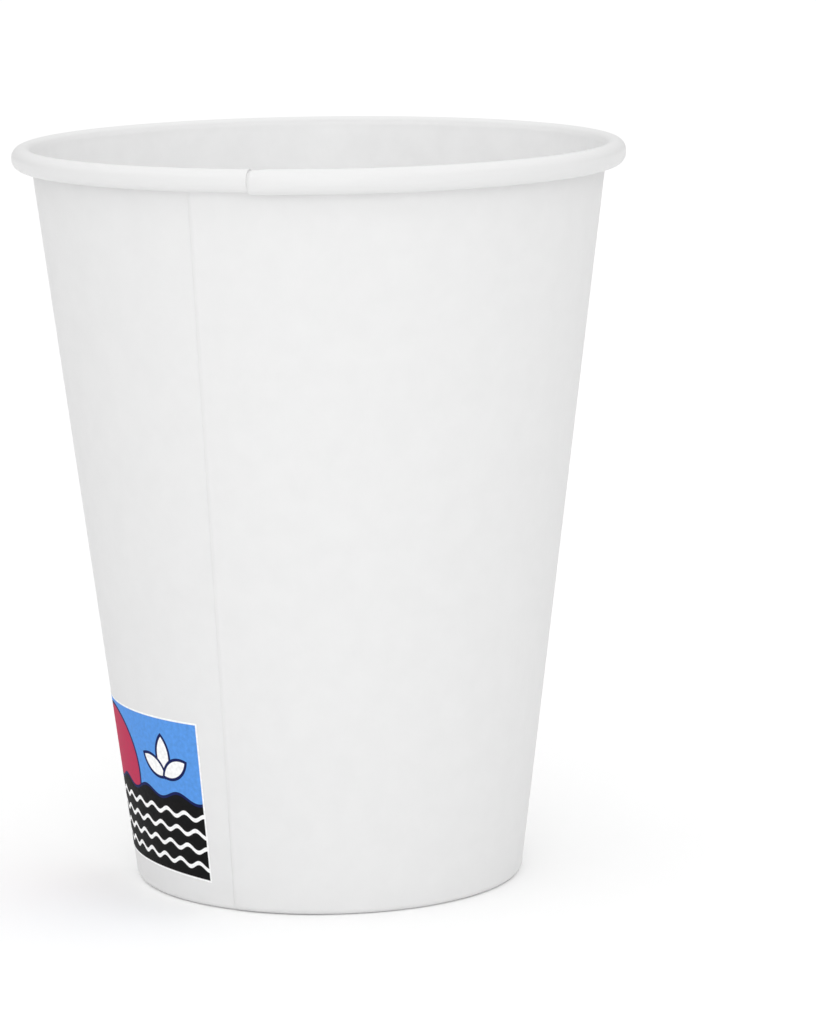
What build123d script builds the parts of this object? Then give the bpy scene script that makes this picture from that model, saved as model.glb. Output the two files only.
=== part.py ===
from build123d import *

import os
from math import asin, atan2, cos, degrees, hypot, pi, radians, sin

# Single-wall paper cup, in millimetres, +Z up. The origin is on the table, on the cup's axis,
# and the cup's front faces -Y.
# The side wall is one fan-shaped blank of coated board, wrapped into a cone. Its two straight
# edges are lapped and sealed. Its top edge is rolled outwards into the rim, and its bottom edge
# is folded in and up, where it grips the skirt of the bottom, which stands clear of the table.

# Overall sizes
rim_diameter = 69.6  # outside of the rolled rim
base_diameter = 44.6  # outside of the wall, produced down to the table
height = 84.6

# Board and seals
wall_board = 0.30  # caliper of the side wall's board
bottom_board = 0.28  # caliper of the bottom's board
seal = 0.03  # melted coating between two sealed faces

# Rolled rim, measured on the face that shows
crown_radius = 1.205  # over the top, from the wall to the outside
flank = 0.25  # straight drop on the outside
under_radius = 1.20  # from the outside to the underside
tuck_radius = 0.65  # hidden end, rolled up inside
tuck_turn = 180.0

# Foot, measured inside the fold
fold_radius = 0.55
foot_flat = 0.04  # the fold is pressed flat by this much where it stands
pinch_angle = 20.0  # above the fold, the hem closes on the skirt at this angle
pinch_radius = 1.2

# Bottom
bottom_rise = 7.0  # table to the underside of the bottom
bottom_bend = 0.55  # outer radius where the bottom turns down into its skirt
skirt_end_gap = 1.0  # skirt's lower edge to the inside of the fold
hem_end_gap = 0.8  # hem's upper edge to the underside of the bottom

# Side seam: the outer flap covers the inner one, and their edges run parallel to each other
seam_azimuth = -109.2  # middle of the lap, from +X
lap_width = 7.5
lap_share = 0.67  # of the caliper that the second layer adds, once it is pressed
rim_share = 0.35  # the same on the rolled rim, which is pressed harder
ramp_clearance = 0.8  # degrees from the inner flap's edge to the start of the ramp
ramp_angle = 9.0  # degrees over which the outer flap comes down to the food side
ramp_steps = 4

# The wall leans so that its outside, from the table up, runs into the rim with no kink
crown_centre = (rim_diameter / 2 - crown_radius, height - crown_radius)
across, up = crown_centre[0] - base_diameter / 2, crown_centre[1]
crown_inside = crown_radius - wall_board
lean = atan2(across, up) - asin(crown_inside / hypot(across, up))
wall_top = (hypot(across, up) ** 2 - crown_inside**2) ** 0.5  # distances along the wall
along = Vector(sin(lean), cos(lean))
outward = Vector(cos(lean), -sin(lean))
table_corner = Vector(base_diameter / 2, 0)

# The fold rests on the table, and the hem leaves room for the skirt and its two seals
hem_gap = bottom_board + 2 * seal
pinch = radians(pinch_angle)
pinch_length = (
    fold_radius * (1 + cos(pinch)) - pinch_radius * (1 - cos(pinch)) - hem_gap
) / sin(pinch)
foot_radius = fold_radius + wall_board
wall_bottom = (foot_radius * (1 - sin(lean)) - foot_flat) / cos(lean)
hem_bottom = (
    wall_bottom + (fold_radius + pinch_radius) * sin(pinch) + pinch_length * cos(pinch)
)
hem_depth = wall_board + hem_gap
hem_top = (bottom_rise - hem_end_gap - hem_depth * sin(lean)) / cos(lean)


def meridian(azimuth):
    """Half-plane from the axis, with x outwards and y up."""
    a = radians(azimuth)
    return Plane((0, 0, 0), x_dir=(cos(a), sin(a), 0), z_dir=(sin(a), -cos(a), 0))


def board_face(rise, depth):
    """One face of the side wall's board, from the hem's end to the end of the rolled rim.

    depth is 0 on the food side and the caliper on the print side. rise is how far the board
    stands off its usual place, because a flap lies under it.
    """
    lift = rise / cos(lean)  # the fold of a raised board stands on the table too
    curl = rise * rim_share / lap_share + depth
    below = rise + depth
    hem = PolarLine(
        table_corner + along * hem_top - outward * (hem_depth + below),
        hem_top - hem_bottom - lift,
        direction=-along,
    )
    close = JernArc(hem @ 1, hem % 1, pinch_radius - below, -pinch_angle)
    slope = PolarLine(close @ 1, pinch_length, direction=close % 1)
    fold = JernArc(slope @ 1, slope % 1, fold_radius + below, 180 + pinch_angle)
    wall = PolarLine(fold @ 1, wall_top - wall_bottom - lift, direction=fold % 1)
    crown = JernArc(wall @ 1, wall % 1, crown_radius - curl, degrees(lean) - 180)
    drop = PolarLine(crown @ 1, flank, direction=crown % 1)
    under = JernArc(drop @ 1, drop % 1, under_radius - curl, -90)
    tuck = JernArc(under @ 1, under % 1, tuck_radius - curl, -tuck_turn)
    return hem @ 0, tuck @ 1


def board_section(azimuth, rise=0):
    """The side wall's board, cut by a half-plane from the axis."""
    with BuildSketch(meridian(azimuth)) as section:
        with BuildLine():
            food_start, food_end = board_face(rise, 0)
            print_start, print_end = board_face(rise, wall_board)
            Line(food_start, print_start)
            Line(food_end, print_end)
        make_face()
    return section.sketch


# Both flaps reach to their edges, which are planes parallel to the seam's middle plane
lap_rise = lap_share * wall_board
fold_centre = table_corner + along * wall_bottom - outward * foot_radius
foot_inside = fold_centre.X - foot_radius - lap_rise
reach = degrees(asin(lap_width / 2 / foot_inside)) + ramp_clearance
ramp_start = seam_azimuth + reach
ramp_end = ramp_start + ramp_angle
seam_plane = Plane((0, 0, 0), x_dir=(0, 0, 1), z_dir=-meridian(seam_azimuth).z_dir)

with BuildPart() as inner_flap:
    revolve(board_section(seam_azimuth), axis=Axis.Z, revolution_arc=reach)
    split(bisect_by=seam_plane.offset(lap_width / 2), keep=Keep.BOTTOM)

with BuildPart() as outer_flap:
    raised_section = board_section(seam_azimuth - reach, lap_rise)
    revolve(raised_section, axis=Axis.Z, revolution_arc=2 * reach)
    split(bisect_by=seam_plane.offset(-lap_width / 2), keep=Keep.TOP)

with BuildPart() as ramp:
    shares = [step / ramp_steps for step in range(ramp_steps + 1)]
    sections = [
        board_section(ramp_start + share * ramp_angle, lap_rise * (1 + cos(pi * share)) / 2)
        for share in shares
    ]
    loft(sections, ruled=True)

with BuildPart() as sidewall:
    around = 360 - ramp_angle - reach
    revolve(board_section(ramp_end), axis=Axis.Z, revolution_arc=around)
    add(inner_flap.part)
    add(outer_flap.part)
    add(ramp.part)
    split(bisect_by=Plane.XY, keep=Keep.TOP)

# The bottom is drawn from a disc: its edge turns down into a skirt, which follows the wall
skirt_corner = table_corner - outward * (wall_board + seal)
skirt_bottom = wall_bottom - fold_radius + skirt_end_gap
bend_height = bottom_bend * (1 + sin(lean))
skirt_top = (bottom_rise + bottom_board - bend_height - skirt_corner.Y) / cos(lean)


def bottom_face(depth):
    """One face of the bottom's board, from the skirt's lower edge to the axis."""
    skirt = PolarLine(
        skirt_corner + along * skirt_bottom - outward * depth,
        skirt_top - skirt_bottom,
        direction=along,
    )
    bend = JernArc(skirt @ 1, skirt % 1, bottom_bend - depth, 90 + degrees(lean))
    disc = Line(bend @ 1, (0, (bend @ 1).Y))
    return skirt @ 0, disc @ 1


with BuildPart() as bottom:
    with BuildSketch(Plane.XZ):
        with BuildLine():
            food_start, food_end = bottom_face(0)
            print_start, print_end = bottom_face(bottom_board)
            Line(food_start, print_start)
            Line(food_end, print_end)
        make_face()
    revolve(axis=Axis.Z)

sidewall.part.label = "sidewall"
bottom.part.label = "bottom"
os.makedirs("parts", exist_ok=True)
export_step(sidewall.part, "parts/sidewall.step")
export_step(bottom.part, "parts/bottom.step")
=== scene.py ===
# %% [markdown]
# A paper cup
#
# The real thing is a small white cup for a hot drink, made from two blanks of coated paperboard.
# The side wall is wrapped into a cone, lapped and sealed along one line, rolled outwards at the
# top and folded in at the foot. The bottom is a disc whose edge is turned down into a skirt.
# The CAD model holds both at their real size. This script loads it as a fixed frame, then builds
# finer meshes in the same places, gives them paperboard, coating and ink, and lights them.

from math import asin, atan2, cos, hypot, pi, radians, sin

import bmesh
import bpy
import numpy as np
from mathutils import Matrix, Vector


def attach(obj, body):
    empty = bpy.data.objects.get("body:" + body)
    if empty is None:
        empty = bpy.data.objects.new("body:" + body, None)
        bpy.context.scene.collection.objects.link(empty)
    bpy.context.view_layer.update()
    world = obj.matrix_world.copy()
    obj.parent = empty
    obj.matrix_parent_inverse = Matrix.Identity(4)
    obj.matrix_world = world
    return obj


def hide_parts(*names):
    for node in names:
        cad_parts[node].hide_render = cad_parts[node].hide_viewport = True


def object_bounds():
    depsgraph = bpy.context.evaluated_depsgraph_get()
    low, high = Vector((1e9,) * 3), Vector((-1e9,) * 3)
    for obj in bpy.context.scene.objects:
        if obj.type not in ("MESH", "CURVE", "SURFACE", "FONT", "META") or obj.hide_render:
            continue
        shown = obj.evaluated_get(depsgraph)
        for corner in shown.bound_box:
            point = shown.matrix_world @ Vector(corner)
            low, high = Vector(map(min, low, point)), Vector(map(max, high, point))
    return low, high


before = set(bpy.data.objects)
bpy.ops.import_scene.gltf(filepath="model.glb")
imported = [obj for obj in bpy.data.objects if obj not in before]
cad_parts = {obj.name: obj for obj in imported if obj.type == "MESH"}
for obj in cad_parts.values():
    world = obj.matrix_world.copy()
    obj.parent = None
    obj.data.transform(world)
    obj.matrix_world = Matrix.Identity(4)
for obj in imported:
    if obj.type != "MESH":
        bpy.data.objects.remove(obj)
cad_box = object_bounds()
low, high = (Vector(corner) for corner in cad_box)
print("CAD box in mm:", [round(side * 1000, 2) for side in high - low])

# %% [markdown]
# Sizes
#
# Everything below is worked out in millimetres, because board makers and cup makers do so, and
# turned to metres when a mesh is made. The overall sizes are read from the frame, so that this
# script follows the CAD model. The board's caliper and the radii of the rolls repeat its values.

# %% Sizes of the cup
MM = 0.001
rim_radius = (high.x - low.x) / 2 / MM
cup_height = high.z / MM
foot_corner = 22.3  # radius of the wall's outside, produced down to the table

caliper = 0.30  # side wall's board
bottom_caliper = 0.28
seal = 0.03  # melted coating between two sealed faces

crown_radius = 1.205  # rolled rim, over the top
under_radius = 1.20  # rolled rim, back to the wall
tuck_radius = 0.65  # rolled rim, hidden end
flank = 0.25  # straight drop on the outside of the rim

fold_radius = 0.55  # foot, inside the fold
foot_flat = 0.04  # the fold is pressed flat by this much
pinch = radians(20)  # the hem closes on the skirt at this angle
pinch_radius = 1.2

bottom_rise = 7.0  # table to the underside of the bottom
bottom_bend = 0.55
skirt_end_gap = 1.0
hem_end_gap = 0.8

lap_width = 7.5  # of the side seam
lap_rise = 0.67 * caliper  # what the second layer adds, once it is pressed
seam_azimuth = radians(-109.2)  # middle of the lap, from +X
print("rim radius", round(rim_radius, 2), "mm and height", round(cup_height, 2), "mm")

# %% [markdown]
# Lean of the wall, and the fold at its foot
#
# On a real cup the blank's cut fixes the cone, and the rollers at the rim and the foot turn the
# board from there with no kink. So the wall is worked out as the tangent from the foot's corner to
# the inside of the rolled rim. At the foot the board turns up into a hem, which grips the bottom's
# skirt: the fold, the slope that closes on the skirt, and the hem all follow from its thickness.

# %% The wall's lean
crown_across = rim_radius - crown_radius - foot_corner
crown_up = cup_height - crown_radius
reach = hypot(crown_across, crown_up)
crown_inside = crown_radius - caliper
lean = atan2(crown_across, crown_up) - asin(crown_inside / reach)
wall_top = (reach**2 - crown_inside**2) ** 0.5
along = np.array([sin(lean), cos(lean)])
outward = np.array([cos(lean), -sin(lean)])
print("wall leans", round(lean * 180 / pi, 3), "degrees and is", round(wall_top, 2), "mm long")

# %% The foot's fold
hem_gap = bottom_caliper + 2 * seal
hem_depth = caliper + hem_gap
pinch_length = fold_radius * (1 + cos(pinch)) - pinch_radius * (1 - cos(pinch)) - hem_gap
pinch_length /= sin(pinch)
wall_bottom = ((fold_radius + caliper) * (1 - sin(lean)) - foot_flat) / cos(lean)
hem_bottom = wall_bottom + (fold_radius + pinch_radius) * sin(pinch) + pinch_length * cos(pinch)
hem_top = (bottom_rise - hem_end_gap - hem_depth * sin(lean)) / cos(lean)
print("hem runs from", round(hem_bottom, 2), "to", round(hem_top, 2), "mm up the wall")

# %% [markdown]
# The side wall's section
#
# Cut through the axis, the board is one strip: hem, fold, wall and rolled rim. It could be drawn
# as a curve object and turned with the Screw modifier, but the section changes round the cup,
# because one flap lies on the other at the seam. So a small turtle walks the section with
# straight and arc moves, once for each column of the mesh, and numpy stacks the columns.


# %% A turtle that walks a section
def walk(start, heading, moves):
    """Points of a run of moves, each (radius, amount, steps).

    A radius of None is a straight move of that length. Any other is an arc that turns by that
    many radians, to the left if the amount is positive.
    """
    place = np.array(start, float)
    points = [place]
    for radius, amount, steps in moves:
        turn = 0 if radius is None else amount / steps
        stride = amount / steps if radius is None else 2 * radius * sin(abs(turn) / 2)
        for _ in range(steps):
            middle = heading + turn / 2
            place = place + stride * np.array([cos(middle), sin(middle)])
            heading += turn
            points.append(place)
    return np.array(points)


quarter = walk((0, 0), 0, [(1, pi / 2, 90)])
print("a quarter circle ends at", quarter[-1].round(3))


# %% One face of the wall's board
hem_steps = 5
pinch_steps = 4


def board_face(rise, sink, drop, depth):
    """One face of the board, from the hem's end to the end of the rolled rim.

    depth is 0 on the food side and the caliper on the print side. rise is how far this column
    stands off the cone, because a flap lies under it. sink is how far it lies below the rolled
    rim's usual surface, and drop is how far the rolled rim comes down lower than usual.
    """
    below = rise + depth
    lift = rise / cos(lean)
    curl = (rise + sink) / 2 + depth
    start = np.array([foot_corner, 0]) + along * hem_top - outward * (hem_depth + below)
    moves = [
        (None, hem_top - hem_bottom - lift, hem_steps),
        (pinch_radius - below, -pinch, pinch_steps),
        (None, pinch_length, 2),
        (fold_radius + below, pi + pinch, 20),
        (None, wall_top - wall_bottom - lift + (rise - sink) / 2, 26),
        (crown_radius - curl, lean - pi, 26),
        (None, flank + rise + drop, 2),
        (under_radius - curl, -pi / 2, 12),
        (tuck_radius - curl, -pi, 12),
    ]
    return walk(start, -pi / 2 - lean, moves)


food = board_face(0, 0, 0, 0)
print("rim reaches", food[:, 0].max().round(3), "mm out and", food[:, 1].max().round(3), "mm up")

# %% [markdown]
# Round the cup
#
# A column of the mesh is a line up the blank. Near the seam the columns run parallel to each
# other, as the cut edges of a real blank do, so the lap keeps its width from rim to foot. Further
# round they fan out like the cone. The inner flap's edge shows inside the cup and as a notch on
# the rim, and the outer flap's edge shows outside as a fine step.

# %% Columns of the blank
middle_radius = 28.0  # distances round the cup are measured here
half_turn = pi * middle_radius
parallel_until, fanned_from = 8, 30  # mm from the seam, between which the columns start to fan


def smooth(low_end, high_end, value):
    """0 below low_end and 1 above high_end, with a soft start and finish."""
    share = np.clip((value - low_end) / (high_end - low_end), 0, 1)
    return share * share * (3 - 2 * share)


def turn_at(distance, radius):
    """Angle from the middle of the seam, for a distance in mm round the blank."""
    fan = smooth(parallel_until, fanned_from, abs(distance))
    return distance / (radius * (1 - fan) + middle_radius * fan)


flap = lap_width / 2
cut_strip = 0.8  # mm beside a cut edge, where the columns are close to show it pressed thin
notch_from, notch_to = 3.5, 5.7  # mm from the seam, where they are closest, for the rim's notch
lap_near = 9  # mm from the seam, out to where the outer flap is well down on the cone
lap_near_inside = 6  # the same to the other side, where no flap has to come down
outer_columns = np.concatenate([
    np.linspace(-flap, -flap + cut_strip, 9),
    np.linspace(-flap + cut_strip, notch_from, 10)[1:],
    np.linspace(notch_from, notch_to, 32)[1:],
    np.linspace(notch_to, lap_near, 12)[1:],
    np.linspace(lap_near, half_turn, 130)[1:],
])
inner_columns = np.concatenate([
    np.linspace(-half_turn, -lap_near_inside, 134)[1:],
    np.linspace(-lap_near_inside, -flap, 6)[1:],
    np.linspace(-flap, flap - cut_strip, 14)[1:],
    np.linspace(flap - cut_strip, flap, 9)[1:],
])
print("columns:", len(outer_columns), "to the outer flap and", len(inner_columns), "to the inner")


# %% [markdown]
# The lapped seam
#
# Where the flaps lie on each other, hot jaws press them together. That leaves four marks: the
# outer flap stands off by most of a caliper and comes down to the cone over a few millimetres, its
# cut edge is pressed thin, the doubled rim is rolled tighter, and right beside the inner flap's
# edge the rolled rim sinks into a notch. A modifier can't tell these marks apart, so one function
# gives each of them by the distance round the blank.

# %% How the lap lifts, sinks and drops
looser = 0.10  # mm that the rim is rolled lower than usual to the right of the notch
tighter = -0.13  # and higher on the doubled board to its left
step_half = 0.05  # mm to each side of the inner flap's edge, where one turns into the other
loosening = (18, 60)  # mm left of the seam, between which the rim gets back to the looser roll
ramp = (0.2, 5.2)  # mm past the inner flap's edge, between which the outer flap comes down
rim_sink = 0.11  # mm that the rolled rim sinks past that edge
rim_sink_ramp = (0.1, 1.9)  # mm past the edge, between which it comes up again
notch_depth, notch_width = 0.12, 0.24  # mm more, right beside the edge
crush_share = 0.45  # of the caliper that the jaws press out of a flap's cut edge
crush_width = 0.6  # mm over which the flap gets back to its full thickness


def lap_shape(distance, outer):
    """rise, sink and drop of the column at this distance from the middle of the seam."""
    past_edge = distance - flap
    rise = lap_rise * (1 - smooth(*ramp, past_edge)) if outer else 0
    groove = notch_depth * np.exp(-((max(past_edge, 0) / notch_width) ** 2))
    sink = (rim_sink + groove) * (1 - smooth(*rim_sink_ramp, past_edge)) if outer else 0
    if outer:
        drop = tighter + (looser - tighter) * smooth(-step_half, step_half, past_edge)
    else:
        drop = tighter + (looser - tighter) * smooth(*loosening, -distance)
    return rise, sink, drop


for where in (-3, 3.8, 4.5, 9):
    print("outer column at", where, "mm:", [round(float(v), 3) for v in lap_shape(where, True)])


# %% Sheets of the side wall
covered_foot = 0.03  # mm that the inner flap clears the table, where the outer one is under it
above_hem = (6.5, 8)  # mm above the table, between which its pressed edge starts to show inside
below_rim = (76, 80)  # and between which that fades out again under the rolled rim


def wall_column(distance, outer, depth):
    """Points up one face of the board, in the cup's own space."""
    rise, sink, drop = lap_shape(distance, outer)
    from_cut = distance + flap if outer else flap - distance
    crushed = crush_share * max(0, 1 - from_cut / crush_width) ** 2
    if outer:
        section = board_face(rise, sink, drop, depth * (1 - crushed))
    else:
        section = board_face(rise, sink, drop, depth)
        on_wall = smooth(*above_hem, section[:, 1]) * (1 - smooth(*below_rim, section[:, 1]))
        section += outward * ((caliper - depth) * crushed * on_wall)[:, None]
    covered = distance > -flap and not outer
    section[:, 1] = section[:, 1].clip(min=covered_foot * covered)  # the fold is pressed flat
    turn = seam_azimuth + turn_at(distance, section[:, 0])
    radius, height = section.T
    return np.stack([radius * np.cos(turn), radius * np.sin(turn), height], axis=1)


columns = [(distance, True) for distance in outer_columns]
columns += [(distance, False) for distance in inner_columns]
food_side = np.array([wall_column(*column, 0) for column in columns])
print_side = np.array([wall_column(*column, caliper) for column in columns])
print("side wall:", food_side.shape[0], "columns of", food_side.shape[1], "points a side")

# %% [markdown]
# Sheets, stitched into one mesh
#
# Each surface of the board is a sheet: a grid of points with a finish of its own and a rectangle
# on the map. The board was flat before it was wrapped, so that map is simply the blank laid out.
# The export bakes the finishes through the map of this name, and an unrolled blank wastes no room
# on it. The sheets are stitched along their edges, so the board is one closed mesh, and creased
# there, so its cut edges stay crisp.


# %% Stitch sheets together
same_place = 1e-4  # mm within which two sheets' edge points are one
crease_angle = radians(60)


def shares(points):
    """How far along a run each point is, from 0 to 1."""
    run = np.concatenate([[0], np.cumsum(np.linalg.norm(np.diff(points, axis=0), axis=1))])
    return run / run[-1]


def sheet_faces(grid, first):
    """Quads of a grid of points whose first point has this number."""
    number = first + np.arange(grid.shape[0] * grid.shape[1]).reshape(grid.shape[:2])
    corners = [number[:-1, :-1], number[:-1, 1:], number[1:, 1:], number[1:, :-1]]
    return np.stack(corners, axis=-1).reshape(-1, 4)


def stitch(name, sheets):
    """One object from sheets, each (grid of points in mm, finish, map rectangle)."""
    points = np.concatenate([grid.reshape(-1, 3) for grid, _, _ in sheets])
    faces, slots, places = [], [], []
    first = 0
    for grid, slot, (left, base, right, top) in sheets:
        quads = sheet_faces(grid, first)
        across = left + (right - left) * shares(grid[:, grid.shape[1] // 2])
        upward = base + (top - base) * shares(grid[grid.shape[0] // 2])
        spots = np.stack(np.meshgrid(across, upward, indexing="ij"), axis=-1).reshape(-1, 2)
        places.append(spots[quads.ravel() - first])
        faces.append(quads)
        slots += [slot] * len(quads)
        first += grid.shape[0] * grid.shape[1]
    mesh = bpy.data.meshes.new(name)
    mesh.from_pydata((points * MM).tolist(), [], np.concatenate(faces).tolist())
    mesh.uv_layers.new(name="OFBake")
    mesh.uv_layers["OFBake"].uv.foreach_set("vector", np.concatenate(places).ravel())
    mesh.polygons.foreach_set("material_index", slots)
    work = bmesh.new()
    work.from_mesh(mesh)
    bmesh.ops.remove_doubles(work, verts=work.verts, dist=same_place * MM)
    work.to_mesh(mesh)
    work.free()
    mesh.polygons.foreach_set("use_smooth", [True] * len(mesh.polygons))
    mesh.set_sharp_from_angle(angle=crease_angle)
    piece = bpy.data.objects.new(name, mesh)
    bpy.context.scene.collection.objects.link(piece)
    print(name, "has", len(mesh.vertices), "points and", len(mesh.polygons), "faces")
    return piece


# %% [markdown]
# The side wall
#
# It has a food side with the coating, a print side with the clay coat, and raw cut edges all
# round. The hem inside the foot is print side too, but pressed with a knurled roller, so it gets
# a finish of its own.

# %% Build the side wall
FOOD, PRINT, HEM, CUT = range(4)
hem_end = hem_steps + pinch_steps + 1
print_turned = print_side[:, ::-1]
hem_start = print_turned.shape[1] - hem_end
rim_end = np.stack([food_side[:, -1], print_side[:, -1]], axis=1)
hem_cut = np.stack([print_side[:, 0], food_side[:, 0]], axis=1)
outer_cut = np.stack([food_side[0], print_side[0]], axis=1)
inner_cut = np.stack([food_side[-1], print_side[-1]], axis=1)[::-1]
sidewall = stitch("side_wall_board", [
    (food_side, FOOD, (0.002, 0.002, 0.998, 0.485)),
    (print_turned[:, :hem_start + 1], PRINT, (0.002, 0.490, 0.998, 0.935)),
    (print_turned[:, hem_start:], HEM, (0.002, 0.940, 0.998, 0.972)),
    (rim_end, CUT, (0.002, 0.976, 0.998, 0.979)),
    (hem_cut, CUT, (0.002, 0.982, 0.998, 0.985)),
    (outer_cut, CUT, (0.002, 0.988, 0.998, 0.991)),
    (inner_cut, CUT, (0.002, 0.994, 0.998, 0.997)),
])

# %% [markdown]
# The bottom
#
# A disc of thinner board. A punch draws it so that its edge turns down into a skirt, which the
# hem grips. It is the same all round, so one section is turned about the axis. A Screw modifier
# would do as well, but the same turtle keeps both pieces true to each other.


# %% One face of the bottom's board
def bottom_face(depth):
    """From the skirt's lower edge to the axis, depth mm inside the face that meets the wall."""
    corner = np.array([foot_corner, 0]) - outward * (caliper + seal)
    skirt_bottom = wall_bottom - fold_radius + skirt_end_gap
    bend_height = bottom_bend * (1 + sin(lean))
    skirt_top = (bottom_rise + bottom_caliper - bend_height - corner[1]) / cos(lean)
    moves = [
        (None, skirt_top - skirt_bottom, 6),
        (bottom_bend - depth, pi / 2 + lean, 10),
    ]
    edge = walk(corner + along * skirt_bottom - outward * depth, pi / 2 - lean, moves)
    disc = [(radius, edge[-1, 1]) for radius in np.linspace(edge[-1, 0], 0, 16)[1:]]
    return np.concatenate([edge, disc])


bottom_food = bottom_face(0)
bottom_under = bottom_face(bottom_caliper)
print("the bottom's food side is", bottom_food[-1, 1].round(2), "mm above the table")


# %% Build the bottom
def spin(section, columns=216):
    """A sheet from a section in a half-plane, turned once about the axis."""
    turns = np.arange(columns + 1) % columns * 2 * pi / columns
    radius, height = section.T
    around = [radius * np.cos(turns)[:, None], radius * np.sin(turns)[:, None]]
    return np.stack([*around, np.broadcast_to(height, around[0].shape)], axis=2)


skirt_cut = np.array([bottom_under[0], bottom_food[0]])
bottom = stitch("bottom_board", [
    (spin(bottom_food)[::-1], FOOD, (0.002, 0.002, 0.998, 0.485)),
    (spin(bottom_under[::-1])[::-1], PRINT, (0.002, 0.490, 0.998, 0.985)),
    (spin(skirt_cut)[::-1], CUT, (0.002, 0.990, 0.998, 0.997)),
])

# %% [markdown]
# The printed panel
#
# A panel of flexo ink sits low on the wall, left of the seam. It was printed on the flat blank,
# and wraps round the cone with it. It could be part of the wall's material, but a sheet of its own
# gets a whole map to itself, so its edges stay sharp. Ink is 0.002 mm thick. It is drawn
# 0.015 mm proud, so that the two surfaces never share a place.

# %% Build the printed panel
panel_left, panel_right = -92.0, -35.8  # degrees from the front, to the right
panel_top = 21.7  # mm above the table
panel_foot_left, panel_foot_right = 3.5, 2.95
panel_size = (23.4, 18.6)  # mm, on the flat blank
ink_proud = 0.015

panel_share = np.linspace(0, 1, 60)
panel_foot = panel_foot_left + (panel_foot_right - panel_foot_left) * panel_share**3
panel_heights = panel_foot[:, None] + (panel_top - panel_foot)[:, None] * np.linspace(0, 1, 24)
panel_radii = foot_corner + panel_heights * np.tan(lean) + ink_proud / cos(lean)
panel_turns = np.radians(panel_left + (panel_right - panel_left) * panel_share)[:, None]
panel_points = np.stack([
    panel_radii * np.sin(panel_turns), -panel_radii * np.cos(panel_turns), panel_heights,
], axis=2)
panel = stitch("printed_panel", [(panel_points[::-1], 0, (1, 0, 0, 1))])

# %% [markdown]
# Colours and nodes
#
# Colours are picked as sRGB hex values, as a paint chart gives them, and one function turns them
# to the linear values that the shader works in. One more function adds a node with its settings
# and links, so that each material below reads from top to bottom.


# %% Helpers for materials
def linear(paint):
    """Linear RGBA from an sRGB hex value such as "#F2F2F0"."""
    channels = [int(paint[k:k + 2], 16) / 255 for k in (1, 3, 5)]
    return [c / 12.92 if c <= 0.04045 else ((c + 0.055) / 1.055) ** 2.4 for c in channels] + [1]


def add(tree, kind, inputs=None, **settings):
    """Adds a node of this kind. An input gets a value, or a link if it is another's output."""
    node = tree.nodes.new(kind)
    for name, value in settings.items():
        setattr(node, name, value)
    for name, value in (inputs or {}).items():
        if isinstance(value, bpy.types.NodeSocket):
            tree.links.new(value, node.inputs[name])
        else:
            node.inputs[name].default_value = value
    return node


def new_material(name):
    """A material with an empty tree."""
    material = bpy.data.materials.new(name)
    material.use_nodes = True
    material.node_tree.nodes.clear()
    return material, material.node_tree


def per_mm(size):
    """Scale of a texture whose features are this many millimetres across."""
    return 1 / (size * MM)


print("bleached board is", [round(c, 3) for c in linear("#EDEDEC")], "in linear light")

# %% [markdown]
# Clay-coated side of the board
#
# The print side is solid bleached board with a thin matt coat of china clay. It is nearly a plain
# white, but the fibres under the coat clump a few millimetres apart, which gives a faint cloud,
# and single fibres leave a fine tooth. Real fibres are 0.03 mm wide, too fine to show at this
# distance, so the tooth is drawn 0.4 mm wide, and longer up the cup, as the fibres lie.


# %% Matt clay-coated paperboard
A, B, RESULT = 6, 7, 2  # a Mix node's colour sockets, which share their names with others
noise_range = (0.3, 0.7)  # a noise node's values seldom leave this range
cloud_range = (0.33, 0.67)  # a little less, so that the cloud reaches both of its tones
cloud_depth = 0.012  # mm that the coat stands higher where the fibres clump


def board_texture(tree, cloud_size, tooth_size):
    """The board's cloud and its tooth, as two sockets from 0 to 1."""
    place = add(tree, "ShaderNodeTexCoord").outputs["Object"]
    cloud = add(
        tree, "ShaderNodeTexNoise",
        {"Vector": place, "Scale": per_mm(cloud_size), "Detail": 3.0, "Roughness": 0.55},
    )
    grain = add(tree, "ShaderNodeMapping", {"Vector": place, "Scale": (1, 1, 0.45)})
    tooth = add(
        tree, "ShaderNodeTexNoise",
        {"Vector": grain.outputs["Vector"], "Scale": per_mm(tooth_size), "Detail": 2.0},
    )
    return cloud.outputs["Fac"], tooth.outputs["Fac"]


def two_tone(tree, share, low, high, first, second):
    """Blends two hex colours as share goes from low to high."""
    blend = add(tree, "ShaderNodeMapRange", {"Value": share, "From Min": low, "From Max": high})
    paints = {0: blend.outputs["Result"], A: linear(first), B: linear(second)}
    return add(tree, "ShaderNodeMix", paints, data_type="RGBA").outputs[RESULT]


def ranged(tree, share, low, high):
    """A socket that goes from low to high as share goes through a noise's usual range."""
    return add(tree, "ShaderNodeMapRange", {
        "Value": share, "From Min": noise_range[0], "From Max": noise_range[1],
        "To Min": low, "To Max": high,
    }).outputs["Result"]


def bumped(tree, height, depth, onto=None):
    """A normal for a height from 0 to 1 that stands for this depth in mm."""
    inputs = {"Height": height, "Distance": depth * MM, "Strength": 1.0}
    if onto is not None:
        inputs["Normal"] = onto
    return add(tree, "ShaderNodeBump", inputs).outputs["Normal"]


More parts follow.
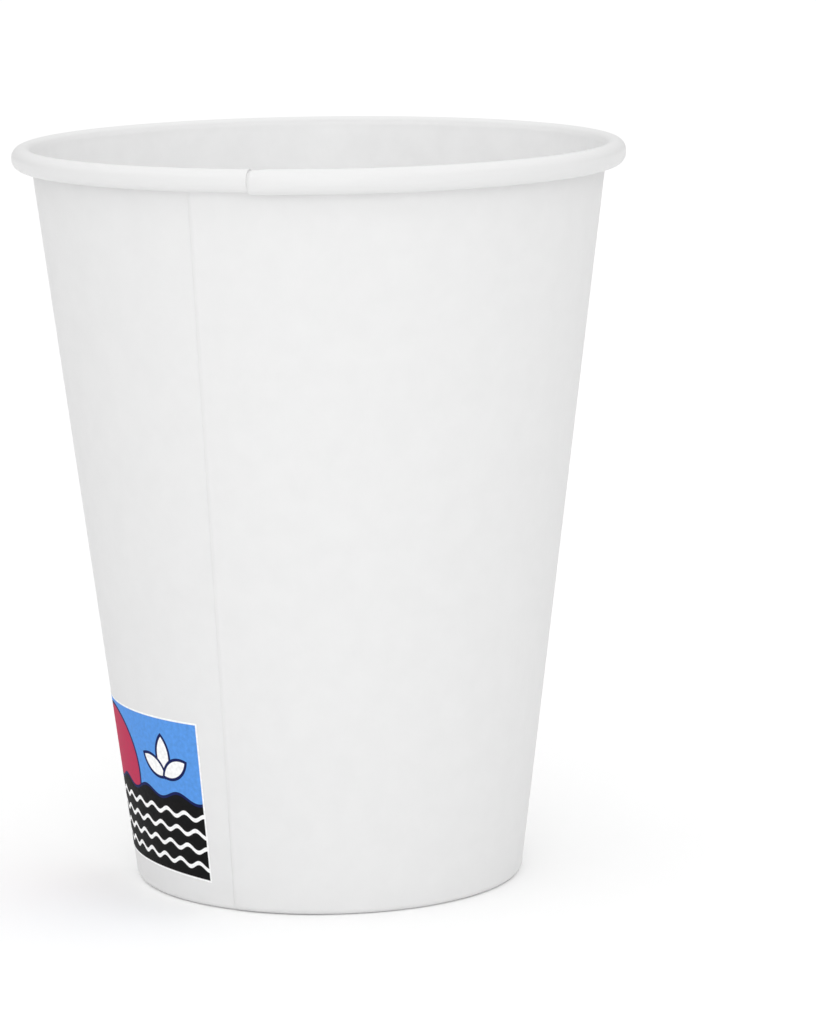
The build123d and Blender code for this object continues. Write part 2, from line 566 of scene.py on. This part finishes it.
def coated_board(
    name, thin, thick, matt, satin, cloud_size, tooth_size, tooth_depth, pressed=None, rolled=None,
):
    """Board with a coat: its two tones, its range of roughness, and the sizes of its texture.

    pressed is a function that presses a relief into the board, and rolled one that paints shade on
    it.
    """
    material, tree = new_material(name)
    cloud, tooth = board_texture(tree, cloud_size, tooth_size)
    normal = bumped(tree, tooth, tooth_depth)
    normal = bumped(tree, cloud, cloud_depth, normal)
    if pressed is not None:
        normal = pressed(tree, normal)
    colour = two_tone(tree, cloud, *cloud_range, thin, thick)
    # rolled paints shade into the colour
    if rolled is not None:
        colour = rolled(tree, colour)
    shader = add(tree, "ShaderNodeBsdfPrincipled", {
        "Base Color": colour,
        "Roughness": ranged(tree, tooth, satin, matt),
        "IOR": 1.5,
        "Normal": normal,
    })
    add(tree, "ShaderNodeOutputMaterial", {"Surface": shader.outputs["BSDF"]})
    print(name, "has", len(tree.nodes), "nodes")
    return material


clay_coat = coated_board(
    "clay_coated_paperboard", "#E2E2E2", "#E4E4E4",
    matt=0.74, satin=0.62, cloud_size=3.0, tooth_size=0.42, tooth_depth=0.010,
)

# %% [markdown]
# Coated food side
#
# The inside, and the rolled rim with it, carries a film of polyethylene so that the board holds
# a drink. The film is satin: smoother than the clay coat, with a soft highlight along the rim.
# It was cast on a chilled roll, and follows the fibres below it, which shows as a faint orange
# peel about a millimetre across. Its IOR is about 1.5. Its white is painted lighter than the
# print side's: painted light that brightens the inside of the cup. On the rim the white is
# painted darker, as painted shade, and darker still where the rim turns under. The tone could be
# painted on the mesh as a colour attribute, but the distance from the axis and the height say
# where it is.

# %% Satin film on paperboard
# painted shade: the rim's white is darker than the inside's, and darker still where the rim turns
# under
rim_painted_shade_tone, under_rim_painted_shade_tone = "#E4E4E4", "#DDDDDD"
rim_shade_mask = (2.5, 2.1)  # mm in from the rim's outside, between which the painted shade comes on
under_rim_shade_mask = (0.6, 2.4)  # mm down from the rim's top, between which the painted shade gets darker still


def from_axis(tree):
    """Distance from the cup's axis, in metres."""
    place = add(tree, "ShaderNodeTexCoord").outputs["Object"]
    across = add(tree, "ShaderNodeVectorMath", {0: place, 1: (1, 1, 0)}, operation="MULTIPLY")
    radius = add(tree, "ShaderNodeVectorMath", {0: across.outputs["Vector"]}, operation="LENGTH")
    return radius.outputs["Value"]


def rim_painted_shade(tree, colour):
    """Paints shade on the film's white on the rim, and more where the rim turns under."""
    rim_shade_share = add(tree, "ShaderNodeMapRange", {
        "Value": from_axis(tree),
        "From Min": (rim_radius - rim_shade_mask[0]) * MM,
        "From Max": (rim_radius - rim_shade_mask[1]) * MM,
    }, interpolation_type="SMOOTHSTEP")
    place = add(tree, "ShaderNodeTexCoord").outputs["Object"]
    height = add(tree, "ShaderNodeSeparateXYZ", {"Vector": place}).outputs["Z"]
    under = add(tree, "ShaderNodeMapRange", {
        "Value": height,
        "From Min": (cup_height - under_rim_shade_mask[0]) * MM,
        "From Max": (cup_height - under_rim_shade_mask[1]) * MM,
    })
    # painted shade: darker where the rim turns under, and the whole rim darker than the inside
    tones = {0: under.outputs["Result"], A: linear(rim_painted_shade_tone), B: linear(under_rim_painted_shade_tone)}
    roll = add(tree, "ShaderNodeMix", tones, data_type="RGBA").outputs[RESULT]
    tones = {0: rim_shade_share.outputs["Result"], A: colour, B: roll}
    return add(tree, "ShaderNodeMix", tones, data_type="RGBA").outputs[RESULT]


# painted light: these two whites are lighter than the print side's, to brighten the inside of the
# cup
food_film_painted_light_and_shade = coated_board(
    "film_coated_paperboard_painted_light_and_shade", "#F3F3F3", "#F6F6F6",
    matt=0.46, satin=0.36, cloud_size=3.0, tooth_size=1.0, tooth_depth=0.012, rolled=rim_painted_shade,
)

# %% [markdown]
# Cut edges
#
# A die cut the blank, so its edges show the fibres with no coat: rougher than either face, and a
# little darker. They are 0.3 mm wide, so a plain texture with a deep tooth is all they need.

# %% Raw edge
raw_edge = coated_board(
    "raw_board_edge", "#DDDDDC", "#E4E4E4",
    matt=0.95, satin=0.85, cloud_size=0.8, tooth_size=0.2, tooth_depth=0.03,
)

# %% [markdown]
# Knurled hem
#
# The hem was pressed onto the skirt by a roller with teeth, which leaves upright grooves 1.2 mm
# apart. They could be modelled, but they are a few hundredths of a millimetre deep, so a bump is
# enough. It goes by the angle round the axis, which stays true wherever the hem lies.

# %% Knurled paperboard
knurl_pitch = 1.2  # mm
knurl_depth = 0.045  # mm above and below the hem's usual face
hem_radius = foot_corner - hem_depth
knurl_teeth = round(2 * pi * hem_radius / knurl_pitch)
print("the roller leaves", knurl_teeth, "grooves")


def angle_round(tree):
    """Angle round the cup's axis, in radians."""
    place = add(tree, "ShaderNodeTexCoord").outputs["Object"]
    parts = add(tree, "ShaderNodeSeparateXYZ", {"Vector": place})
    turn = add(
        tree, "ShaderNodeMath", {0: parts.outputs["Y"], 1: parts.outputs["X"]},
        operation="ARCTAN2",
    )
    return turn.outputs["Value"]


def knurled(tree, normal):
    """Presses upright grooves into the board."""
    phase = add(
        tree, "ShaderNodeMath", {0: angle_round(tree), 1: float(knurl_teeth)},
        operation="MULTIPLY",
    )
    groove = add(tree, "ShaderNodeMath", {0: phase.outputs["Value"]}, operation="SINE")
    return bumped(tree, groove.outputs["Value"], knurl_depth, normal)


knurled_board = coated_board(
    "knurled_paperboard", "#E2E2E2", "#E6E6E6",
    matt=0.74, satin=0.62, cloud_size=3.0, tooth_size=0.42, tooth_depth=0.010, pressed=knurled,
)

# %% [markdown]
# Bottom board
#
# The bottom has the same film on its food side. A punch drew the flat disc into its skirt, and the
# board that had to go somewhere went into fine pleats round the bend. A one-dimensional noise that
# runs round the cup gives pleats of uneven width, and a ramp along the radius keeps them at the
# edge. The underside has no film and no clay, so it is plainer and a little darker.


# %% Film-coated and uncoated bottom board
pleats_per_radian = 24.0
pleat_depth = 0.12  # mm at the bend
pleat_fade = (3.0, 0.4)  # mm in from the bottom's edge, between which the pleats come up


def drawn(tree, normal):
    """Fine pleats round the bottom's bend, where the punch drew the disc's edge down."""
    pleats = add(
        tree, "ShaderNodeTexNoise",
        {"W": angle_round(tree), "Scale": pleats_per_radian, "Detail": 2.0},
        noise_dimensions="1D",
    )
    near_edge = add(tree, "ShaderNodeMapRange", {
        "Value": from_axis(tree),
        "From Min": (bottom_food[:, 0].max() - pleat_fade[0]) * MM,
        "From Max": (bottom_food[:, 0].max() - pleat_fade[1]) * MM,
    })
    height = add(
        tree, "ShaderNodeMath", {0: pleats.outputs["Fac"], 1: near_edge.outputs["Result"]},
        operation="MULTIPLY",
    )
    return bumped(tree, height.outputs["Value"], pleat_depth, normal)


bottom_film = coated_board(
    "film_coated_bottom_board", "#EEEEEE", "#F2F2F2",
    matt=0.46, satin=0.36, cloud_size=3.0, tooth_size=1.0, tooth_depth=0.012, pressed=drawn,
)
bottom_plain = coated_board(
    "uncoated_bottom_board", "#E2E2E0", "#E8E8E6",
    matt=0.86, satin=0.76, cloud_size=2.4, tooth_size=0.36, tooth_depth=0.016,
)

# %% [markdown]
# Ink
#
# Four flexo inks and the bare white of the board make the panel: crimson, sky blue, near black,
# and navy for the fine lines where two fields meet. A thin white border goes round it all. The
# design is a plain one of this script's own: a sun over dark water, and a sprig of three leaves in
# the sky. A picture file could hold it, but each shape here is a distance in millimetres, turned
# into a soft-edged mask, so it stays sharp at any size. Water-based flexo ink dries matt, which
# keeps the black deep, and lies a little unevenly on board, which shows as a fine mottle.

# %% Masks for printed shapes
ink_edge = 0.03  # mm to each side of an ink's edge, over which it fades


def inside(tree, distance, size):
    """1 where a distance is under size, and 0 beyond it."""
    return add(tree, "ShaderNodeMapRange", {
        "Value": distance, "From Min": size - ink_edge, "From Max": size + ink_edge,
        "To Min": 1.0, "To Max": 0.0,
    }, interpolation_type="SMOOTHSTEP").outputs["Result"]


def distance_to(tree, place, point):
    """Distance from a point of the panel, in mm."""
    return add(
        tree, "ShaderNodeVectorMath", {0: place, 1: (*point, 0)}, operation="DISTANCE",
    ).outputs["Value"]


def leaf(tree, place, base, turn, length, width):
    """How deep inside a pointed leaf each place is, as the larger distance from two circles."""
    bulge = (length**2 / 4 + width**2 / 4) / width  # radius of each side's circle
    aside = bulge - width / 2
    towards, sideways = Vector((cos(turn), sin(turn))), Vector((-sin(turn), cos(turn)))
    heart = Vector(base) + towards * length / 2
    sides = [distance_to(tree, place, heart + sideways * step) for step in (aside, -aside)]
    larger = add(tree, "ShaderNodeMath", {0: sides[0], 1: sides[1]}, operation="MAXIMUM")
    return larger.outputs["Value"], bulge


def painted(tree, under, mask, paint):
    """Lays a colour over another where the mask is 1."""
    coats = {0: mask, A: under, B: linear(paint)}
    return add(tree, "ShaderNodeMix", coats, data_type="RGBA").outputs[RESULT]


print("an ink's edge fades over", 2 * ink_edge, "mm")

# %% Measures of the printed design
CRIMSON, SKY, BLACK, NAVY, WHITE = "#BE3558", "#5A98E4", "#101011", "#151F55", "#FAFAFA"
border = 0.22  # mm of bare white that the printer leaves round the inks
sun_place, sun_radius = (5.4, 11.0), 6.6
water_level, water_swell, water_length = 9.2, 0.45, 6.0
sprig_root = (17.6, 11.6)
leaves = ((90, 4.6, 1.9), (150, 4.0, 1.7), (30, 4.0, 1.7))  # turn in degrees, then mm
keyline = 0.35  # mm of navy between two fields
crest_levels = [1.7 + 1.9 * number for number in range(4)]  # mm up the panel
crest_swell, crest_half_width = 0.32, 0.24
mottle_per_mm = 2.2
mottle_range = (0.9, 1.08)  # how much of its light the ink keeps where it lies thick or thin
mottle_depth = 0.006  # mm
ink_satin, ink_matt = 0.6, 0.75
print("the design is", panel_size[0], "by", panel_size[1], "mm on the flat blank")


# %% Sun and sprig
def sun_and_sprig(tree, place):
    """A sun in the sky, and three leaves beside it."""
    sun = distance_to(tree, place, sun_place)
    colour = painted(tree, linear(SKY), inside(tree, sun, sun_radius + keyline), NAVY)
    colour = painted(tree, colour, inside(tree, sun, sun_radius), CRIMSON)
    for turn, length, width in leaves:
        depth, bulge = leaf(tree, place, sprig_root, radians(turn), length, width)
        colour = painted(tree, colour, inside(tree, depth, bulge + keyline), NAVY)
        colour = painted(tree, colour, inside(tree, depth, bulge), WHITE)
    return colour


print("the sprig has", len(leaves), "leaves")


# %% Water
def wave_height(tree, across, level, swell, length, start):
    """Height of a wavy line at each place across the panel."""
    phase = add(
        tree, "ShaderNodeMath", {0: across, 1: 2 * pi / length, 2: start},
        operation="MULTIPLY_ADD",
    )
    sine = add(tree, "ShaderNodeMath", {0: phase.outputs["Value"]}, operation="SINE")
    line = add(
        tree, "ShaderNodeMath", {0: sine.outputs["Value"], 1: swell, 2: level},
        operation="MULTIPLY_ADD",
    )
    return line.outputs["Value"]


def water(tree, colour, across, upward):
    """Dark water with white crests, over the lower part of the panel."""
    swell = wave_height(tree, across, water_level, water_swell, water_length, 0.0)
    over = add(tree, "ShaderNodeMath", {0: upward, 1: swell}, operation="SUBTRACT")
    colour = painted(tree, colour, inside(tree, over.outputs["Value"], keyline), NAVY)
    colour = painted(tree, colour, inside(tree, over.outputs["Value"], 0.0), BLACK)
    for number, level in enumerate(crest_levels):
        line = wave_height(tree, across, level, crest_swell, water_length / 2, pi * number)
        off = add(tree, "ShaderNodeMath", {0: upward, 1: line}, operation="SUBTRACT")
        off = add(tree, "ShaderNodeMath", {0: off.outputs["Value"]}, operation="ABSOLUTE")
        crest = inside(tree, off.outputs["Value"], crest_half_width)
        colour = painted(tree, colour, crest, WHITE)
    return colour


print("the water has", len(crest_levels), "white crests")


# %% Bare border
def bare_border(tree, colour, place):
    """Leaves the board bare along the panel's four edges."""
    half_size = Vector((*panel_size, 0)) / 2
    off = add(tree, "ShaderNodeVectorMath", {0: place, 1: half_size}, operation="SUBTRACT")
    off = add(tree, "ShaderNodeVectorMath", {0: off.outputs["Vector"]}, operation="ABSOLUTE")
    past = add(
        tree, "ShaderNodeVectorMath", {0: off.outputs["Vector"], 1: half_size},
        operation="SUBTRACT",
    )
    past = add(tree, "ShaderNodeSeparateXYZ", {"Vector": past.outputs["Vector"]})
    nearest = add(
        tree, "ShaderNodeMath", {0: past.outputs["X"], 1: past.outputs["Y"]},
        operation="MAXIMUM",
    )
    bare = add(tree, "ShaderNodeMapRange", {
        "Value": nearest.outputs["Value"],
        "From Min": -border - ink_edge, "From Max": -border + ink_edge,
    })
    return painted(tree, colour, bare.outputs["Result"], WHITE)


print("the bare border is", border, "mm wide")


# %% Matt flexo ink
def printed_ink(name):
    """The whole panel in one material, laid out on the flat blank from its lower left corner."""
    material, tree = new_material(name)
    flat = add(tree, "ShaderNodeUVMap", uv_map="OFBake").outputs["UV"]
    place = add(
        tree, "ShaderNodeVectorMath", {0: flat, 1: (*panel_size, 0)}, operation="MULTIPLY",
    ).outputs["Vector"]
    parts = add(tree, "ShaderNodeSeparateXYZ", {"Vector": place})
    across, upward = parts.outputs["X"], parts.outputs["Y"]

    colour = sun_and_sprig(tree, place)
    colour = water(tree, colour, across, upward)
    colour = bare_border(tree, colour, place)

    grain = {"Vector": place, "Scale": mottle_per_mm, "Detail": 3.0}
    mottle = add(tree, "ShaderNodeTexNoise", grain).outputs["Fac"]
    uneven = ranged(tree, mottle, *mottle_range)
    cover = add(tree, "ShaderNodeVectorMath", {0: colour, "Scale": uneven}, operation="SCALE")
    shader = add(tree, "ShaderNodeBsdfPrincipled", {
        "Base Color": cover.outputs["Vector"],
        "Roughness": ranged(tree, mottle, ink_satin, ink_matt),
        "IOR": 1.5,
        "Specular IOR Level": 0.1,
        "Normal": bumped(tree, mottle, mottle_depth),
    })
    add(tree, "ShaderNodeOutputMaterial", {"Surface": shader.outputs["BSDF"]})
    print(name, "has", len(tree.nodes), "nodes")
    return material


# %% [markdown]
# Dress the pieces
#
# Each sheet was given the number of its finish when it was stitched, so the finishes only have to
# be added in that order. The bottom's hidden skirt and its underside share one. Then the CAD
# pieces that they stand for are hidden, and each piece is told what it rides on.

# %% Dress the pieces
for finish in (food_film_painted_light_and_shade, clay_coat, knurled_board, raw_edge):
    sidewall.data.materials.append(finish)
for finish in (bottom_film, bottom_plain, bottom_plain, raw_edge):
    bottom.data.materials.append(finish)
panel.data.materials.append(printed_ink("flexo_ink"))

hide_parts("sidewall")
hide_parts("bottom")
for piece, slot in ((sidewall, "wall_board"), (bottom, "bottom_board"), (panel, "wall_board")):
    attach(piece, "root")
    print(piece.name, "wears", [finish.name for finish in piece.data.materials])

# %% [markdown]
# Floor and light
#
# A product on pure white is shot on a pale floor in a white room: most of the light is broad and
# soft. The world stands for that room. It is brightest overhead, a little brighter in front, and
# darker low down at the sides, which is what rounds off the cup's left and right edges. One low
# soft box in front of the cup keeps the wall under the rim from going grey. Ring lights or a
# picture of a room would do too, but two smooth ramps are easy to match to the cup's own tones.

# %% Matt white floor
floor_radius = 6  # metres, so that its edge is never near the cup
bpy.ops.mesh.primitive_circle_add(vertices=96, radius=floor_radius, fill_type="NGON")
floor = bpy.context.object
floor.name = "studio_floor"
floor_paint, tree = new_material("matt_white_floor")
shader = add(tree, "ShaderNodeBsdfPrincipled", {
    "Base Color": linear("#FDFDFD"), "Roughness": 0.9, "Specular IOR Level": 0.1,
})
add(tree, "ShaderNodeOutputMaterial", {"Surface": shader.outputs["BSDF"]})
floor.data.materials.append(floor_paint)
print("the floor is", 2 * floor_radius, "m across")

# %% Room light
side_light, top_light = 0.64, 1.58  # strength at the horizon and overhead
front_light = 0.15  # added in front
front_fade = (-0.3, -1.0)  # how far to the front the added light starts, and where it is full
world = bpy.data.worlds.new("white_room")
bpy.context.scene.world = world
world.use_nodes = True
tree = world.node_tree
tree.nodes.clear()
direction = add(tree, "ShaderNodeTexCoord").outputs["Generated"]
parts = add(tree, "ShaderNodeSeparateXYZ", {"Vector": direction})
overhead = add(tree, "ShaderNodeMapRange", {
    "Value": parts.outputs["Z"], "From Min": 0.0, "From Max": 1.0,
    "To Min": side_light, "To Max": top_light,
}, interpolation_type="SMOOTHSTEP")
frontal = add(tree, "ShaderNodeMapRange", {
    "Value": parts.outputs["Y"], "From Min": front_fade[0], "From Max": front_fade[1],
    "To Min": 0.0, "To Max": front_light,
}, interpolation_type="SMOOTHSTEP")
room = add(
    tree, "ShaderNodeMath", {0: overhead.outputs["Result"], 1: frontal.outputs["Result"]},
    operation="ADD",
)
light = add(tree, "ShaderNodeBackground", {"Strength": room.outputs["Value"]})
add(tree, "ShaderNodeOutputWorld", {"Surface": light.outputs["Background"]})
print("room light goes from", side_light, "at the horizon to", top_light, "overhead")


# %% Soft box
def soft_box(name, place, aim, size, power):
    """A square area light of this width, in metres and watts, turned towards a point."""
    lamp = bpy.data.lights.new(name, "AREA")
    lamp.size = size
    lamp.energy = power
    holder = bpy.data.objects.new(name, lamp)
    holder.location = place
    holder.rotation_euler = (Vector(aim) - Vector(place)).to_track_quat("-Z", "Y").to_euler()
    bpy.context.scene.collection.objects.link(holder)
    print(name, "is", size, "m wide and gives", power, "W")


cup_middle = Vector((0, 0, cup_height / 2 * MM))
soft_box("front_soft_box", place=(0.0, -0.5, 0.2), aim=cup_middle, size=0.3, power=0.4)

# %% [markdown]
# Camera
#
# The photo's camera was worked out from the rim's ellipse and the cup's outline: half a metre
# away, ten degrees above level, and leaning a little. The cup stands left of the frame's middle,
# so the camera is turned a degree to its right. A lens shift would frame it as well, but a turn
# is what a photographer does, and it keeps the other views of the cup true.

# %% Camera
frame_width, frame_height = 816, 1024
camera_distance = 517.7  # mm from the cup's middle
camera_elevation = radians(9.71)
camera_roll = radians(-0.89)
pixels_focal = 4501.5  # focal length in the frame's pixels
cup_seen_at = (324.5, 508.6)  # pixel of the frame where the cup's middle is seen
sensor = 36  # mm along the frame's longer side

camera = bpy.data.objects.new("camera", bpy.data.cameras.new("camera"))
bpy.context.scene.collection.objects.link(camera)
camera.data.sensor_width = sensor
camera.data.lens = sensor * pixels_focal / frame_height
away = Vector((0, -cos(camera_elevation), sin(camera_elevation)))
camera.location = cup_middle + away * camera_distance * MM
level = (-away).to_track_quat("-Z", "Y").to_matrix()
leaning = level @ Matrix.Rotation(camera_roll, 3, "Z")
seen = Vector((
    (cup_seen_at[0] - frame_width / 2) / pixels_focal,
    (frame_height / 2 - cup_seen_at[1]) / pixels_focal,
    -1,
))
turned = Vector((0, 0, -1)).rotation_difference(seen).to_matrix()
camera.rotation_euler = (leaning @ turned.transposed()).to_euler()
bpy.context.scene.camera = camera
print("lens:", round(camera.data.lens, 1), "mm")

# %% [markdown]
#
# A filmic view rounds off bright tones, and would turn this white cup grey. The standard view
# shows each colour as it is.

# %% Plain colours in the image
bpy.context.scene.view_settings.view_transform = "Standard"
bpy.context.scene.view_settings.look = "None"
print("view:", bpy.context.scene.view_settings.view_transform)
